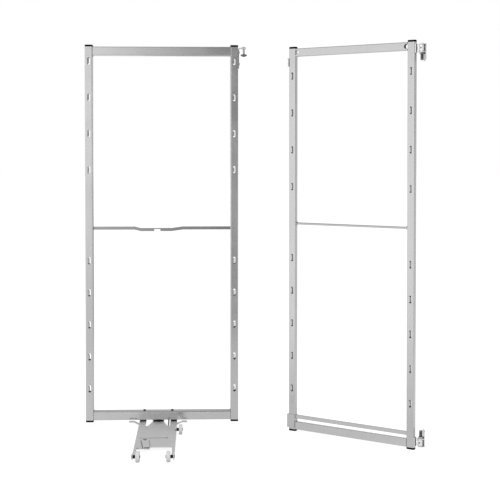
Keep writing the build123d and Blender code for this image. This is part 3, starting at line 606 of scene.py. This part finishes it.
def backdrop_floor():
    """A pale floor under the object: plain white to the camera, with the object's own soft shadow kept."""
    mesh = bpy.data.meshes.new("studio_floor")
    corners = [(-floor_reach, -floor_reach), (floor_reach, -floor_reach), (floor_reach, floor_reach),
               (-floor_reach, floor_reach)]
    mesh.from_pydata([(x, y, cad_box[0][2]) for x, y in corners], [], [(0, 1, 2, 3)])
    floor = bpy.data.objects.new("studio_floor", mesh)
    bpy.context.scene.collection.objects.link(floor)
    material = bpy.data.materials.new("floor_white")
    material.use_nodes = True
    tree = material.node_tree
    tree.nodes.clear()
    paint, seen_paint = (node(tree, "ShaderNodeBsdfDiffuse") for _ in range(2))
    paint.inputs["Color"].default_value = (*grey(floor_white), 1.0)
    seen_paint.inputs["Color"].default_value = (*grey(floor_seen_white), 1.0)
    glow, mirrored = (node(tree, "ShaderNodeEmission") for _ in range(2))
    glow.inputs["Strength"].default_value = floor_seen_glow
    seen = node(tree, "ShaderNodeAddShader")
    linked(tree, seen_paint.outputs["BSDF"], seen.inputs[0])
    linked(tree, glow.outputs["Emission"], seen.inputs[1])
    place = node(tree, "ShaderNodeTexCoord").outputs["Object"]
    axes = node(tree, "ShaderNodeSeparateXYZ")
    linked(tree, place, axes.inputs["Vector"])
    distance = node(tree, "ShaderNodeVectorMath", operation="LENGTH")
    linked(tree, place, distance.inputs[0])
    blend = node(tree, "ShaderNodeMix")
    linked(tree, remap(tree, distance.outputs["Value"], *near_to_far), blend.inputs["Factor"])
    linked(tree, three_levels(tree, axes.outputs["X"], *near_floor), blend.inputs["A"])
    linked(tree, three_levels(tree, axes.outputs["X"], *far_floor), blend.inputs["B"])
    linked(tree, blend.outputs["Result"], mirrored.inputs["Strength"])
    shown = shown_to_rays(tree, paint.outputs["BSDF"], mirrored.outputs["Emission"], seen.outputs["Shader"])
    linked(tree, shown, node(tree, "ShaderNodeOutputMaterial").inputs["Surface"])
    mesh.materials.append(material)


def studio_world():
    """White to the camera, even light on the object, and in its metal uneven and dimmer overhead."""
    world = bpy.data.worlds.new("studio")
    bpy.context.scene.world = world
    world.use_nodes = True
    tree = world.node_tree
    tree.nodes.clear()
    direction = node(tree, "ShaderNodeSeparateXYZ")
    linked(tree, node(tree, "ShaderNodeTexCoord").outputs["Generated"], direction.inputs["Vector"])
    across, away, upward = (direction.outputs[axis] for axis in "XYZ")
    front = arithmetic(tree, "ADD", three_levels(tree, across, *camera_side),
                       remap(tree, across, *right_lamp))
    around = node(tree, "ShaderNodeMix")
    linked(tree, remap(tree, away, *camera_to_back), around.inputs["Factor"])
    linked(tree, front, around.inputs["A"])
    linked(tree, three_levels(tree, across, *back_side), around.inputs["B"])
    dome = arithmetic(tree, "MULTIPLY", remap(tree, upward, *overhead), remap(tree, upward, *raised))
    even, mirrored, white = (node(tree, "ShaderNodeBackground") for _ in range(3))
    for background in (even, mirrored, white):
        background.inputs["Color"].default_value = (1.0, 1.0, 1.0, 1.0)
    even.inputs["Strength"].default_value = daylight
    linked(tree, arithmetic(tree, "MULTIPLY", around.outputs["Result"], dome), mirrored.inputs["Strength"])
    white.inputs["Strength"].default_value = 1.0
    lights = [background.outputs["Background"] for background in (even, mirrored, white)]
    linked(tree, shown_to_rays(tree, *lights), node(tree, "ShaderNodeOutputWorld").inputs["Surface"])


def soft_light(name, place, size, power):
    """A square area lamp turned to the object, which it lights without a hot spot in the metal."""
    lamp = bpy.data.lights.new(name, "AREA")
    lamp.shape = "SQUARE"
    lamp.size = size
    lamp.energy = power
    made = bpy.data.objects.new(name, lamp)
    made.location = place
    made.rotation_euler = (Vector(lamp_target) - Vector(place)).to_track_quat("-Z", "Y").to_euler()
    made.visible_glossy = False
    bpy.context.scene.collection.objects.link(made)


def photograph_camera():
    """The camera of the photograph, fitted to the corners of both frames."""
    camera = bpy.data.cameras.new("photograph_camera")
    camera.sensor_width = sensor_width
    camera.lens = focal_pixels * sensor_width / image_pixels
    camera.shift_y = shift_pixels / image_pixels
    camera.clip_end = camera_sight
    made = bpy.data.objects.new("photograph_camera", camera)
    made.location = camera_place
    made.rotation_euler = (radians(90.0 + camera_pitch), 0.0, -radians(camera_yaw))
    bpy.context.scene.collection.objects.link(made)
    bpy.context.scene.camera = made


backdrop_floor()
studio_world()
soft_light("key_softbox", place=(-2.6, -2.4, 3.2), size=2.4, power=120.0)
soft_light("fill_softbox", place=(2.2, -2.8, 1.6), size=2.0, power=30.0)
photograph_camera()
bpy.context.scene.view_settings.view_transform = "Standard"
